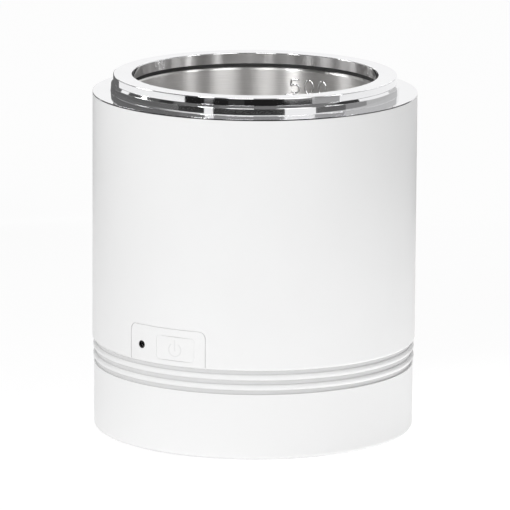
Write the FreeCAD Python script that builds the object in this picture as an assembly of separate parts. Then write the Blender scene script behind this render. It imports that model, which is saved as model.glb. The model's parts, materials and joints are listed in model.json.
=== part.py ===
import FreeCAD, Part
import math
import os

V = FreeCAD.Vector
X_AXIS = V(1, 0, 0)
Y_AXIS = V(0, 1, 0)
Z_AXIS = V(0, 0, 1)
FULL_TURN = 360.0

# Driving dimensions in millimetres. The origin is on the table, under the middle of the body.
# The control panel faces -Y, the mains inlet faces +Y and +Z is up.

# Body
body_radius = 65.0
shell_wall = 2.6
shell_height = 99.9
shell_edge_radius = 1.0
deck_thickness = 3.0
boss_radius = 4.0
boss_inset = 7.4
boss_height = 14.0
boss_web = 3.0
boss_count = 4
boss_start_angle = 45.0
boss_grip = 8.0

# Base
base_step_in = 0.7
base_wall = 2.6
base_floor = 2.5
base_wall_height = 26.4
base_edge_radius = 1.5
groove_width = 1.6
groove_depth = 0.8
bead_radius = 1.2
bead_count = 2
spigot_height = 4.0
spigot_wall = 2.3
spigot_clearance = 0.2
spigot_gap_margin = 1.5
post_radius = 4.5
vent_count = 8
vent_width = 2.2
vent_length = 11.0
vent_circle_radius = 17.0

# Feet
foot_proud = 1.2
foot_radius = 6.0
foot_seat_depth = 1.0
foot_inset = 12.3
foot_edge_radius = 0.6
foot_count = 4
foot_clearance = 0.1

# Rim, trim ring and gasket
rim_width = 15.7
flange_thickness = 0.6
tier_height = 4.5
tier_width = 6.2
tier_bevel = 1.0
tier_draft = 0.1
gasket_width = 1.8
gasket_seat_depth = 0.8
gasket_proud = 0.3
gasket_clearance = 0.1
trim_screw_count = 4
trim_thread_depth = 2.6

# Wax pot and its collar
pot_wall = 0.6
pot_corner_radius = 6.0
pot_lip_bend = 1.2
pot_floor_gap = 0.5
collar_height = 2.7
collar_edge_radius = 0.3
collar_band_height = 4.4
collar_skirt_wall = 0.6
collar_crimp_height = 0.6
collar_crimp_gap = 0.3
collar_fit = 0.1
collar_running_clearance = 0.4
seal_height = 1.4
seal_setback = 0.3

# Heating bowl, heater and insulation
bay_height = 56.8
bowl_gap = 0.7
bowl_wall = 1.5
bowl_floor = 3.0
bowl_corner_radius = 5.0
bowl_flange_thickness = 1.2
bowl_flange_margin = 0.6
bowl_deck_clearance = 0.5
band_thickness = 1.0
band_height = 30.0
band_rise = 20.0
band_gap = 14.0
band_fit = 0.1
tab_width = 5.0
tab_length = 14.0
tab_angle = 14.0
clamp_thickness = 0.5
clamp_fit = 0.1
clamp_height = 14.0
clamp_ear_length = 7.0
clamp_ear_thickness = 1.0
clamp_ear_gap = 6.0
sleeve_air_gap = 2.6
sleeve_rise = 8.0
sleeve_fit = 0.25
sleeve_top_gap = 0.6
window_margin = 3.0

# Thermostat, fuse and heat shield
thermostat_radius = 8.0
thermostat_cup_height = 4.0
thermostat_body_radius = 6.5
thermostat_body_height = 4.5
thermostat_ear_pitch = 24.0
thermostat_ear_width = 8.0
thermostat_ear_thickness = 0.6
blade_width = 3.0
blade_thickness = 0.8
blade_length = 6.5
blade_pitch = 7.0
fuse_radius = 2.0
fuse_length = 11.0
fuse_lead_radius = 0.5
fuse_lead_length = 7.0
fuse_place = 21.0
clip_width = 6.0
clip_thickness = 0.7
clip_tab_length = 8.0
clip_fit = 0.1
standoff_flats = 5.5
standoff_length = 10.0
standoff_circle_radius = 38.0
standoff_count = 3
shield_thickness = 0.8
shield_clearance = 2.0
shield_hole_radius = 9.0
shield_screw_length = 5.0

# Control panel
panel_width = 35.2
panel_height = 15.2
panel_corner_radius = 2.9
panel_gap = 0.3
panel_lap = 2.8
panel_lap_thickness = 1.8
panel_lap_clearance = 0.2
panel_pad_depth = 1.9
led_offset = 11.6
led_drop = 0.7
led_hole_radius = 1.6
led_radius = 1.5
led_flange_radius = 1.9
led_flange_thickness = 1.0
led_recess = 1.5
led_lead_radius = 0.25
led_lead_pitch = 2.54
ear_thickness = 2.0
ear_height = 6.5
ear_reach = 11.0
ear_web = 2.0
ear_screw_place = 25.5

# Power button and its switch
button_width = 17.1
button_height = 9.8
button_offset = 4.5
button_drop = 0.45
button_corner_radius = 1.5
button_clearance = 0.2
button_lip = 1.2
button_lip_thickness = 1.2
button_stem_radius = 2.0
button_stem_length = 1.75
button_plunger_gap = 0.05
plunger_radius = 1.75
plunger_length = 1.5
plunger_root = 1.0
plunger_clearance = 0.1
switch_size = 6.0
switch_height = 3.5
button_board_margin = 3.5
button_board_height = 12.6
board_thickness = 1.6

# Main board and what stands on it
main_board_length = 64.0
main_board_width = 54.0
main_board_shift = -1.0
board_post_height = 6.0
board_post_radius = 3.0
board_post_inset = 4.0
transformer_size = (24.0, 20.0, 18.0)
transformer_place = (-19.0, 6.0)
transformer_core_lip = 2.5
relay_size = (19.0, 15.0, 15.0)
relay_place = (10.0, -16.5)
relay_edge_radius = 1.0
capacitor_radius = 4.0
capacitor_height = 13.0
capacitor_place = (13.0, 12.0)
terminal_size = (15.0, 8.0, 10.0)
terminal_place = (0.0, 20.5)
heater_terminal_size = (9.0, 13.0, 9.0)
heater_terminal_inset = 6.5
sensor_header_size = (12.0, 6.0, 6.0)
sensor_header_place = (0.0, -5.0)
button_header_size = (10.0, 5.0, 6.0)
button_header_offset = -16.0
button_header_inset = 8.0
block_edge_radius = 0.6

# Mains inlet
inlet_rise = 13.2
inlet_nose_width = 21.0
inlet_nose_height = 13.0
inlet_nose_radius = 1.5
inlet_window_gap = 0.3
inlet_face_inset = 1.9
inlet_flange_width = 33.0
inlet_flange_height = 16.0
inlet_flange_thickness = 2.0
inlet_pad_margin = 1.0
inlet_pad_inset = 6.8
inlet_screw_pitch = 27.6
inlet_body_width = 19.0
inlet_body_height = 12.0
inlet_body_length = 11.5
socket_width = 15.2
socket_height = 8.2
socket_depth = 12.0
pin_radius = 1.19
pin_pitch = 8.6
pin_recess = 4.0
pin_tail = 4.0

# Leads
lead_radius = 0.9
thin_lead_radius = 0.6
thin_lead_pitch = 2.0
button_lead_count = 3
lead_bend_share = 0.45
lead_rise = 10.0
lead_drop = 18.0

# Screws: shank radius, head radius, head height and length under the head
base_screw = (1.5, 2.8, 2.0, 18.0)
trim_screw = (1.5, 2.75, 1.8, 5.4)
panel_screw = (1.0, 1.9, 1.4, 7.2)
board_screw = (1.2, 2.2, 1.6, 6.4)
inlet_screw = (1.2, 2.1, 1.5, 5.0)
bowl_screw = (1.5, 2.6, 1.8, 2.8)
shield_screw = (1.5, 2.75, 1.8, 5.0)
clamp_screw_size = (1.5, 2.75, 2.0, 12.0)
screw_hole_clearance = 0.2
thread_clearance = 0.05
thread_end_gap = 0.4
recess_depth = 0.9
recess_width = 0.6
recess_margin = 1.0

# Levels and radii worked out from the sizes above
base_radius = body_radius - base_step_in
base_bottom = foot_proud
base_floor_top = base_bottom + base_floor
base_top = base_bottom + base_wall_height
seam = base_top + (bead_count + 1) * groove_width + bead_count * 2 * bead_radius
shell_top = seam + shell_height
shell_bore = body_radius - shell_wall
deck_bottom = shell_top - deck_thickness
boss_circle = shell_bore - boss_inset
boss_top = seam + boss_height
head_seat = seam + boss_grip - base_screw[3]

tier_top = shell_top + tier_height
collar_bottom = tier_top + gasket_proud
rim_top = collar_bottom + collar_height
opening_radius = body_radius - rim_width
pot_radius = opening_radius + pot_wall
lip_radius = opening_radius + pot_lip_bend
band_bottom = rim_top - collar_band_height
lip_top = band_bottom - seal_height
lip_level = lip_top - pot_lip_bend
skirt_inner = lip_radius + collar_fit
skirt_outer = skirt_inner + collar_skirt_wall
trim_bore = skirt_outer + collar_running_clearance
tier_radius = trim_bore + tier_width
collar_radius = tier_radius - tier_bevel

bowl_bottom = base_bottom + bay_height
bowl_floor_top = bowl_bottom + bowl_floor
bowl_bore = pot_radius + bowl_gap
bowl_radius = bowl_bore + bowl_wall
bowl_flange_radius = tier_radius - bowl_flange_margin
deck_bore = bowl_radius + bowl_deck_clearance
trim_screw_circle = (deck_bore + tier_radius) / 2
pot_bottom = bowl_floor_top + pot_floor_gap
band_bore = bowl_radius + band_fit
band_radius = band_bore + band_thickness
band_low = bowl_bottom + band_rise
clamp_bore = band_radius + clamp_fit
clamp_radius = clamp_bore + clamp_thickness
clamp_low = band_low + (band_height - clamp_height) / 2
sleeve_bore = clamp_radius + sleeve_fit
sleeve_radius = shell_bore - sleeve_air_gap
sleeve_low = bowl_bottom + sleeve_rise
sleeve_top = deck_bottom - trim_screw[2] - sleeve_top_gap
standoff_low = bowl_bottom - standoff_length
shield_low = standoff_low - shield_thickness

panel_top = seam + panel_height
panel_middle = seam + panel_height / 2
led_level = panel_middle - led_drop
button_level = panel_middle - button_drop
lap_radius = shell_bore - panel_lap_clearance
lap_bore = lap_radius - panel_lap_thickness
pad_back = -(lap_bore - panel_pad_depth)
lip_back = pad_back + button_lip_thickness
stem_end = lip_back + button_stem_length
plunger_tip = stem_end + button_plunger_gap
switch_front = plunger_tip + plunger_length
board_front = switch_front + switch_height
board_back = board_front + board_thickness
board_half = ear_screw_place + button_board_margin

shield_radius = min(boss_circle - boss_radius, -board_back) - shield_clearance

heater_terminal_place = (main_board_length / 2 - heater_terminal_inset, 0.0)
button_header_place = (button_header_offset, main_board_shift - main_board_width / 2 + button_header_inset)
main_board_low = base_floor_top + board_post_height
main_board_top = main_board_low + board_thickness
inlet_level = base_bottom + inlet_rise
inlet_face = base_radius - inlet_face_inset
inlet_pad_face = base_radius - inlet_pad_inset
inlet_flange_back = inlet_pad_face - inlet_flange_thickness
inlet_back = inlet_flange_back - inlet_body_length
pin_front = inlet_face - pin_recess
pin_back = inlet_back - pin_tail


def box(x_low, x_high, y_low, y_high, z_low, z_high):
    return Part.makeBox(x_high - x_low, y_high - y_low, z_high - z_low, V(x_low, y_low, z_low))


def upright_block(x_middle, y_middle, width, depth, z_low, z_high):
    return box(x_middle - width / 2, x_middle + width / 2, y_middle - depth / 2, y_middle + depth / 2,
               z_low, z_high)


def rod(radius, length, start, direction=Z_AXIS):
    return Part.makeCylinder(radius, length, start, direction)


def ring(inner, outer, low, high):
    return rod(outer, high - low, V(0, 0, low)).cut(rod(inner, high - low, V(0, 0, low)))


def lathe(start, *steps):
    """Turn an outline of (radius, height) points about Z. A pair of points is an arc: middle, end."""
    edges = []
    last = V(start[0], 0, start[1])
    for step in list(steps) + [start]:
        if isinstance(step[0], tuple):
            middle = V(step[0][0], 0, step[0][1])
            end = V(step[1][0], 0, step[1][1])
            edges.append(Part.Arc(last, middle, end).toShape())
        else:
            end = V(step[0], 0, step[1])
            edges.append(Part.LineSegment(last, end).toShape())
        last = end
    return Part.Face(Part.Wire(edges)).revolve(V(0, 0, 0), Z_AXIS, FULL_TURN)


def corner(centre_radius, centre_height, radius, angle, sweep):
    """A quarter arc for lathe: its middle and end, from an angle and a signed sweep in degrees."""
    points = []
    for turn in (angle + sweep / 2, angle + sweep):
        along = centre_radius + radius * math.cos(math.radians(turn))
        up = centre_height + radius * math.sin(math.radians(turn))
        points.append((along, up))
    return tuple(points)


def rounded_block(width, height, radius, y_low, y_high, x_middle=0.0, z_middle=0.0):
    """A block along Y whose upright outline has rounded corners."""
    block = box(x_middle - width / 2, x_middle + width / 2, y_low, y_high,
                z_middle - height / 2, z_middle + height / 2)
    along_y = [e for e in block.Edges if abs(e.tangentAt(e.FirstParameter).y) > 0.5]
    return block.makeFillet(radius, along_y)


def around(shape, count, start_angle=0.0):
    copies = []
    for index in range(count):
        copy = shape.copy()
        copy.rotate(V(0, 0, 0), Z_AXIS, start_angle + index * FULL_TURN / count)
        copies.append(copy)
    return copies


def turned(shape, angle):
    copy = shape.copy()
    copy.rotate(V(0, 0, 0), Z_AXIS, angle)
    return copy


def screw(size, place, direction):
    """A cross-recessed screw whose head seats at place and whose shank runs along direction."""
    shank, head, head_height, length = size
    body = rod(shank, length, V(0, 0, 0)).fuse(rod(head, head_height, V(0, 0, -head_height)))
    reach = head - recess_margin
    for half_x, half_y in ((reach, recess_width / 2), (recess_width / 2, reach)):
        body = body.cut(box(-half_x, half_x, -half_y, half_y, -head_height, recess_depth - head_height))
    body.Placement = FreeCAD.Placement(place, FreeCAD.Rotation(Z_AXIS, direction))
    return body


def clear_hole(size):
    return size[0] + screw_hole_clearance


def thread_hole(size):
    return size[0] + thread_clearance


def lead(points, radius):
    """A round wire through the points: straight runs joined by arcs as large as the runs allow."""
    points = [V(*point) for point in points]
    edges = []
    last = points[0]
    for before, here, after in zip(points, points[1:], points[2:]):
        back = (before - here).normalize()
        ahead = (after - here).normalize()
        room = lead_bend_share * min((before - here).Length, (after - here).Length)
        half_turn = (math.pi - back.getAngle(ahead)) / 2
        bend = room / math.tan(half_turn)
        middle_way = (back + ahead).normalize()
        middle = here + middle_way * (bend / math.cos(half_turn) - bend)
        edges.append(Part.LineSegment(last, here + back * room).toShape())
        edges.append(Part.Arc(here + back * room, middle, here + ahead * room).toShape())
        last = here + ahead * room
    edges.append(Part.LineSegment(last, points[-1]).toShape())
    section = Part.Wire(Part.makeCircle(radius, points[0], points[1] - points[0]))
    return Part.Wire(edges).makePipeShell([section], True, False)


def shell_skin(inner):
    """The upright wall of the body above the seam, with its rounded lower edge."""
    edge = corner(body_radius - shell_edge_radius, seam + shell_edge_radius, shell_edge_radius, -90, 90)
    return lathe((inner, seam), (body_radius - shell_edge_radius, seam), edge,
                 (body_radius, shell_top), (inner, shell_top))


def panel_outline(gap, y_low, y_high):
    """The panel's upright outline, round at its two upper corners and open below the seam."""
    height = 2 * (panel_height - gap)
    return rounded_block(panel_width - 2 * gap, height, panel_corner_radius - gap, y_low, y_high, 0, seam)


def outer_shell():
    shell = shell_skin(shell_bore)
    deck = ring(deck_bore, body_radius - shell_wall / 2, deck_bottom, shell_top)
    flange_seat = rod(bowl_flange_radius + bowl_flange_margin / 3, bowl_flange_thickness,
                      V(0, 0, shell_top - bowl_flange_thickness))
    shell = shell.fuse(deck).cut(flange_seat)
    for hole in around(rod(clear_hole(trim_screw), deck_thickness, V(trim_screw_circle, 0, deck_bottom)),
                       trim_screw_count):
        shell = shell.cut(hole)
    boss = rod(boss_radius, boss_height, V(boss_circle, 0, seam))
    web = box(boss_circle, shell_bore + shell_wall / 2, -boss_web / 2, boss_web / 2, seam, boss_top)
    depth = boss_grip + thread_end_gap
    boss = boss.fuse(web).cut(rod(thread_hole(base_screw), depth, V(boss_circle, 0, seam)))
    shell = shell.fuse(around(boss, boss_count, boss_start_angle))
    ear_boss_end = board_front - ear_thickness
    for side in (-1, 1):
        place = V(side * ear_screw_place, -body_radius, panel_middle)
        ear_boss = rod(ear_height / 2, body_radius + ear_boss_end, place, Y_AXIS)
        ear_boss = ear_boss.common(rod(body_radius - shell_wall / 2, panel_top, V(0, 0, seam)))
        depth = panel_screw[3] - ear_thickness - board_thickness + thread_end_gap
        hole = rod(thread_hole(panel_screw), depth, V(place.x, ear_boss_end, place.z), Y_AXIS * -1)
        shell = shell.fuse(ear_boss).cut(hole)
    return shell.cut(panel_outline(0, -2 * body_radius, -boss_circle))


def base_outline():
    """The base tub turned in one piece: wall, grooves, beads, ledge and spigot."""
    groove_floor = base_radius - groove_depth
    spigot_outer = shell_bore - spigot_clearance
    spigot_inner = spigot_outer - spigot_wall
    wall_bore = base_radius - base_wall
    edge = corner(base_radius - base_edge_radius, base_bottom + base_edge_radius, base_edge_radius, -90, 90)
    steps = [(base_radius - base_edge_radius, base_bottom), edge, (base_radius, base_top),
             (groove_floor, base_top)]
    level = base_top
    for index in range(bead_count):
        level = level + groove_width
        steps.append((groove_floor, level))
        peak = (groove_floor + bead_radius, level + bead_radius)
        level = level + 2 * bead_radius
        steps.append((peak, (groove_floor, level)))
    shoulder = wall_bore - spigot_inner
    steps += [(groove_floor, seam), (spigot_outer, seam), (spigot_outer, seam + spigot_height),
              (spigot_inner, seam + spigot_height), (spigot_inner, base_top),
              (wall_bore, base_top - shoulder), (wall_bore, base_floor_top), (0, base_floor_top)]
    return lathe((0, base_bottom), *steps)


def board_post_places():
    reach_x = main_board_length / 2 - board_post_inset
    reach_y = main_board_width / 2 - board_post_inset
    return [(side * reach_x, main_board_shift + end * reach_y) for side in (-1, 1) for end in (-1, 1)]


def base_shell():
    base = base_outline()
    post = rod(post_radius, seam - base_bottom, V(boss_circle, 0, base_bottom))
    posts = around(post, boss_count, boss_start_angle)
    head_bore = rod(base_screw[1] + screw_hole_clearance, head_seat - base_bottom,
                    V(boss_circle, 0, base_bottom))
    shank_bore = rod(clear_hole(base_screw), seam - base_bottom, V(boss_circle, 0, base_bottom))
    bores = around(head_bore.fuse(shank_bore), boss_count, boss_start_angle)
    gap = box(boss_circle, body_radius, -boss_web / 2 - spigot_gap_margin, boss_web / 2 + spigot_gap_margin,
              seam, seam + spigot_height)
    gaps = around(gap, boss_count, boss_start_angle)
    front_half = panel_width / 2 + panel_lap + spigot_gap_margin
    front = box(-front_half, front_half, -body_radius, boss_radius - boss_circle, seam, seam + spigot_height)
    seat = rod(foot_radius + foot_clearance, foot_seat_depth, V(base_radius - foot_inset, 0, base_bottom))
    seats = around(seat, foot_count)
    vent = box(vent_circle_radius, vent_circle_radius + vent_length, -vent_width / 2, vent_width / 2,
               base_bottom, base_floor_top)
    vents = around(vent, vent_count, FULL_TURN / vent_count / 2)
    base = base.fuse(posts).cut(bores + gaps + [front] + seats + vents)
    for x_place, y_place in board_post_places():
        board_post = rod(board_post_radius, board_post_height, V(x_place, y_place, base_floor_top))
        depth = board_screw[3] - board_thickness + thread_end_gap
        hole = rod(thread_hole(board_screw), depth, V(x_place, y_place, main_board_low - depth))
        base = base.fuse(board_post).cut(hole)
    return inlet_seat(base)


def inlet_seat(base):
    """Add the flat pad, the window and the screw holes that hold the mains inlet."""
    half_width = inlet_flange_width / 2 + inlet_pad_margin
    half_height = inlet_flange_height / 2 + inlet_pad_margin
    pad = box(-half_width, half_width, inlet_pad_face, base_radius,
              inlet_level - half_height, inlet_level + half_height)
    pad = pad.common(rod(base_radius - base_wall / 2, seam, V(0, 0, 0)))
    growth = 2 * inlet_window_gap
    window = rounded_block(inlet_nose_width + growth, inlet_nose_height + growth,
                           inlet_nose_radius + inlet_window_gap, inlet_pad_face, body_radius, 0, inlet_level)
    base = base.fuse(pad).cut(window)
    depth = inlet_screw[3] - inlet_flange_thickness + thread_end_gap
    for side in (-1, 1):
        place = V(side * inlet_screw_pitch / 2, inlet_pad_face, inlet_level)
        base = base.cut(rod(thread_hole(inlet_screw), depth, place, Y_AXIS))
    return base


def base_screws():
    place = V(boss_circle, 0, head_seat)
    return around(screw(base_screw, place, Z_AXIS), boss_count, boss_start_angle)


def rubber_feet():
    edge = corner(foot_radius - foot_edge_radius, foot_edge_radius, foot_edge_radius, -90, 90)
    foot = lathe((0, 0), (foot_radius - foot_edge_radius, 0), edge,
                 (foot_radius, foot_proud + foot_seat_depth), (0, foot_proud + foot_seat_depth))
    foot.translate(V(base_radius - foot_inset, 0, 0))
    return around(foot, foot_count)


def trim_ring():
    flange_top = shell_top + flange_thickness
    body = lathe((trim_bore, shell_top), (body_radius, shell_top), (body_radius, flange_top),
                 (tier_radius, flange_top), (tier_radius - tier_draft, tier_top - tier_bevel),
                 (tier_radius - tier_bevel, tier_top), (trim_bore, tier_top))
    depth = trim_thread_depth + thread_end_gap
    hole = rod(thread_hole(trim_screw), depth, V(trim_screw_circle, 0, shell_top))
    return body.cut([gasket_ring(gasket_clearance, tier_top)] + around(hole, trim_screw_count))


def gasket_ring(clearance, top):
    half = gasket_width / 2 + clearance
    return ring(trim_screw_circle - half, trim_screw_circle + half, tier_top - gasket_seat_depth, top)


def seat_gasket():
    return gasket_ring(0, collar_bottom)


def trim_screws():
    length = deck_thickness + trim_thread_depth
    size = trim_screw[:3] + (length,)
    return around(screw(size, V(trim_screw_circle, 0, deck_bottom), Z_AXIS), trim_screw_count)


def wax_pot():
    outer_bend = pot_lip_bend - pot_wall
    across = pot_radius - pot_corner_radius
    level = pot_bottom + pot_corner_radius
    foot = corner(across, level, pot_corner_radius, -90, 90)
    under_lip = corner(lip_radius, lip_level, outer_bend, 180, -90)
    over_lip = corner(lip_radius, lip_level, pot_lip_bend, 90, 90)
    inside = corner(across, level, pot_corner_radius - pot_wall, 0, -90)
    return lathe((0, pot_bottom), (across, pot_bottom), foot, (pot_radius, lip_level), under_lip,
                 (lip_radius, lip_top), over_lip, (opening_radius, level), inside,
                 (0, pot_bottom + pot_wall))


def collar_seal():
    return ring(opening_radius + seal_setback, lip_radius, lip_top, band_bottom)


def pot_collar():
    crimp_top = lip_top - pot_wall - collar_crimp_gap
    crimp_low = crimp_top - collar_crimp_height
    crimp_bore = pot_radius + 2 * collar_fit
    level = rim_top - collar_edge_radius
    outer = corner(collar_radius - collar_edge_radius, level, collar_edge_radius, 0, 90)
    inner = corner(opening_radius + collar_edge_radius, level, collar_edge_radius, 90, 90)
    return lathe((opening_radius, band_bottom), (skirt_inner, band_bottom), (skirt_inner, crimp_top),
                 (crimp_bore, crimp_top), (crimp_bore, crimp_low), (skirt_outer, crimp_low),
                 (skirt_outer, collar_bottom), (collar_radius, collar_bottom),
                 (collar_radius, level), outer,
                 (opening_radius + collar_edge_radius, rim_top), inner)


def bowl_screw_places():
    ears = [V(0, side * thermostat_ear_pitch / 2, bowl_bottom) for side in (-1, 1)]
    return ears, V(fuse_place + clip_width / 2 + clip_tab_length / 2, 0, bowl_bottom)


def standoff_places():
    places = []
    for index in range(standoff_count):
        turn = math.radians(FULL_TURN / 4 + index * FULL_TURN / standoff_count)
        places.append(V(standoff_circle_radius * math.cos(turn), standoff_circle_radius * math.sin(turn), 0))
    return places


def heating_bowl():
    corner_low = corner(bowl_radius - bowl_corner_radius, bowl_bottom + bowl_corner_radius,
                        bowl_corner_radius, -90, 90)
    inner_radius = bowl_corner_radius - bowl_wall
    corner_in = corner(bowl_bore - inner_radius, bowl_floor_top + inner_radius, inner_radius, 0, -90)
    bowl = lathe((0, bowl_bottom), (bowl_radius - bowl_corner_radius, bowl_bottom), corner_low,
                 (bowl_radius, shell_top - bowl_flange_thickness),
                 (bowl_flange_radius, shell_top - bowl_flange_thickness),
                 (bowl_flange_radius, shell_top), (bowl_bore, shell_top),
                 (bowl_bore, bowl_floor_top + inner_radius), corner_in, (0, bowl_floor_top))
    flange_hole = rod(clear_hole(trim_screw), deck_thickness, V(trim_screw_circle, 0, deck_bottom))
    cuts = around(flange_hole, trim_screw_count)
    depth = bowl_floor - thread_end_gap
    ears, clip = bowl_screw_places()
    for place in ears + [clip]:
        cuts.append(rod(thread_hole(bowl_screw), depth, place))
    for place in standoff_places():
        cuts.append(rod(thread_hole(shield_screw), depth, V(place.x, place.y, bowl_bottom)))
    return bowl.cut(cuts)


def heater_band():
    """A flat band heater, open at +X, with two terminal tabs at its lower edge."""
    band = ring(band_bore, band_radius, band_low, band_low + band_height)
    band = band.cut(box(0, 2 * band_radius, -band_gap / 2, band_gap / 2, band_low, band_low + band_height))
    tab = ring(band_bore, band_radius, band_low - tab_length, band_low + tab_width)
    tab = tab.common(upright_block(band_radius, 0, band_radius, tab_width, 0, shell_top))
    for side in (-1, 1):
        band = band.fuse(turned(tab, side * tab_angle))
    return band


def heater_clamp():
    """A steel strap round the band heater, with two ears that the clamp screw draws together."""
    strap = ring(clamp_bore, clamp_radius, clamp_low, clamp_low + clamp_height)
    half = clamp_ear_gap / 2
    strap = strap.cut(box(0, 2 * clamp_radius, -half, half, clamp_low, clamp_low + clamp_height))
    for side in (-1, 1):
        low, high = sorted((side * half, side * (half + clamp_ear_thickness)))
        ear = box(0, clamp_radius + clamp_ear_length, low, high, clamp_low, clamp_low + clamp_height)
        ear = ear.cut(rod(clamp_bore, clamp_height, V(0, 0, clamp_low)))
        strap = strap.fuse(ear)
    hole = rod(clear_hole(clamp_screw_size), 4 * half, clamp_screw_place() - Y_AXIS * 2 * half, Y_AXIS)
    return strap.cut(hole)


def clamp_screw_place():
    return V(clamp_radius + clamp_ear_length / 2, 0, clamp_low + clamp_height / 2)


def clamp_screw():
    head_face = clamp_ear_gap / 2 + clamp_ear_thickness
    place = clamp_screw_place() - Y_AXIS * head_face
    bolt = screw(clamp_screw_size, place, Y_AXIS)
    nut = rod(clamp_screw_size[1], clamp_screw_size[2], place + Y_AXIS * 2 * head_face, Y_AXIS)
    return bolt.fuse(nut)


def insulation_sleeve():
    """A fibre blanket between the clamp and the shell, with a window for the clamp's ears."""
    sleeve = ring(sleeve_bore, sleeve_radius, sleeve_low, sleeve_top)
    half = clamp_screw_size[3] + window_margin
    window = box(0, body_radius, -half, half, clamp_low - window_margin,
                 clamp_low + clamp_height + window_margin)
    return sleeve.cut(window)


def thermostat():
    cup_low = bowl_bottom - thermostat_cup_height
    body_low = cup_low - thermostat_body_height
    body = rod(thermostat_radius, thermostat_cup_height, V(0, 0, cup_low))
    body = body.fuse(rod(thermostat_body_radius, thermostat_body_height, V(0, 0, body_low)))
    reach = thermostat_ear_pitch / 2 + thermostat_ear_width / 2
    half = thermostat_ear_width / 2
    ears = box(-half, half, -reach, reach, bowl_bottom - thermostat_ear_thickness, bowl_bottom)
    for place in bowl_screw_places()[0]:
        ears = ears.cut(rod(clear_hole(bowl_screw), thermostat_ear_thickness,
                            V(place.x, place.y, bowl_bottom - thermostat_ear_thickness)))
    body = body.fuse(ears)
    for side in (-1, 1):
        middle = side * blade_pitch / 2
        blade = upright_block(middle, 0, blade_thickness, blade_width, body_low - blade_length, body_low)
        body = body.fuse(blade)
    return body


def thermal_fuse():
    middle = V(fuse_place, 0, bowl_bottom - fuse_radius)
    body = rod(fuse_radius, fuse_length, middle - Y_AXIS * fuse_length / 2, Y_AXIS)
    length = fuse_length + 2 * fuse_lead_length
    return body.fuse(rod(fuse_lead_radius, length, middle - Y_AXIS * length / 2, Y_AXIS))


def fuse_clip():
    """A saddle over the thermal fuse, with a tab that one bowl screw holds."""
    bore = fuse_radius + clip_fit
    half = bore + clip_thickness
    start = V(fuse_place, -clip_width / 2, bowl_bottom - fuse_radius)
    saddle = rod(half, clip_width, start, Y_AXIS)
    saddle = saddle.fuse(upright_block(fuse_place, 0, 2 * half, clip_width, start.z, bowl_bottom))
    clip = bowl_screw_places()[1]
    tab_end = clip.x + clip_tab_length / 2
    tab_low = bowl_bottom - clip_thickness
    tab = box(fuse_place, tab_end, -clip_width / 2, clip_width / 2, tab_low, bowl_bottom)
    bore_block = rod(bore, clip_width, start, Y_AXIS)
    bore_block = bore_block.fuse(upright_block(fuse_place, 0, 2 * bore, clip_width, start.z, bowl_bottom))
    hole = rod(clear_hole(bowl_screw), clip_thickness, V(clip.x, 0, tab_low))
    above = rod(half, clip_width, start, Y_AXIS)
    above = above.common(box(0, body_radius, -clip_width, clip_width, bowl_bottom, shell_top))
    return saddle.fuse(tab).cut([bore_block, hole, above])


def bowl_screws():
    ears, clip = bowl_screw_places()
    screws = [screw(bowl_screw, place - Z_AXIS * thermostat_ear_thickness, Z_AXIS) for place in ears]
    screws.append(screw(bowl_screw, clip - Z_AXIS * clip_thickness, Z_AXIS))
    return screws


def shield_standoffs():
    """Hexagonal spacers with a threaded stud into the bowl and a threaded hole below."""
    standoffs = []
    for place in standoff_places():
        reach = standoff_flats / math.sqrt(3)
        points = []
        for index in range(7):
            turn = math.radians(60 * index)
            points.append(V(reach * math.cos(turn), reach * math.sin(turn), standoff_low) + place)
        body = Part.Face(Part.makePolygon(points)).extrude(Z_AXIS * standoff_length)
        stud = rod(shield_screw[0], bowl_floor - 2 * thread_end_gap, V(place.x, place.y, bowl_bottom))
        hole = rod(thread_hole(shield_screw), shield_screw_length + thread_end_gap,
                   V(place.x, place.y, standoff_low))
        standoffs.append(body.fuse(stud).cut(hole))
    return standoffs


def heat_shield():
    plate = ring(shield_hole_radius, shield_radius, shield_low, standoff_low)
    for place in standoff_places():
        plate = plate.cut(rod(clear_hole(shield_screw), shield_thickness, V(place.x, place.y, shield_low)))
    return plate


def shield_screws():
    size = shield_screw[:3] + (shield_thickness + shield_screw_length,)
    return [screw(size, V(place.x, place.y, shield_low), Z_AXIS) for place in standoff_places()]


def control_panel():
    skin = shell_skin(lap_bore).common(panel_outline(panel_gap, -2 * body_radius, -boss_circle))
    lap_half = panel_width / 2 + panel_lap
    lap = ring(lap_bore, lap_radius, seam + spigot_height, panel_top + panel_lap)
    lap = lap.common(box(-lap_half, lap_half, -body_radius, 0, seam, panel_top + panel_lap))
    pad_half = button_width / 2 + button_lip
    pad_tall = button_height / 2 + button_lip
    pad = box(button_offset - pad_half, button_offset + pad_half, -lap_radius, pad_back,
              button_level - pad_tall, button_level + pad_tall)
    pad = pad.common(rod(lap_radius, panel_top, V(0, 0, 0)))
    panel = skin.fuse([lap, pad] + panel_ears(lap_half))
    window = rounded_block(button_width, button_height, button_corner_radius, -2 * body_radius, pad_back,
                           button_offset, button_level)
    led_hole = rod(led_hole_radius, body_radius, V(-led_offset, -3 * body_radius / 2, led_level), Y_AXIS)
    return panel.cut([window, led_hole])


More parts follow.
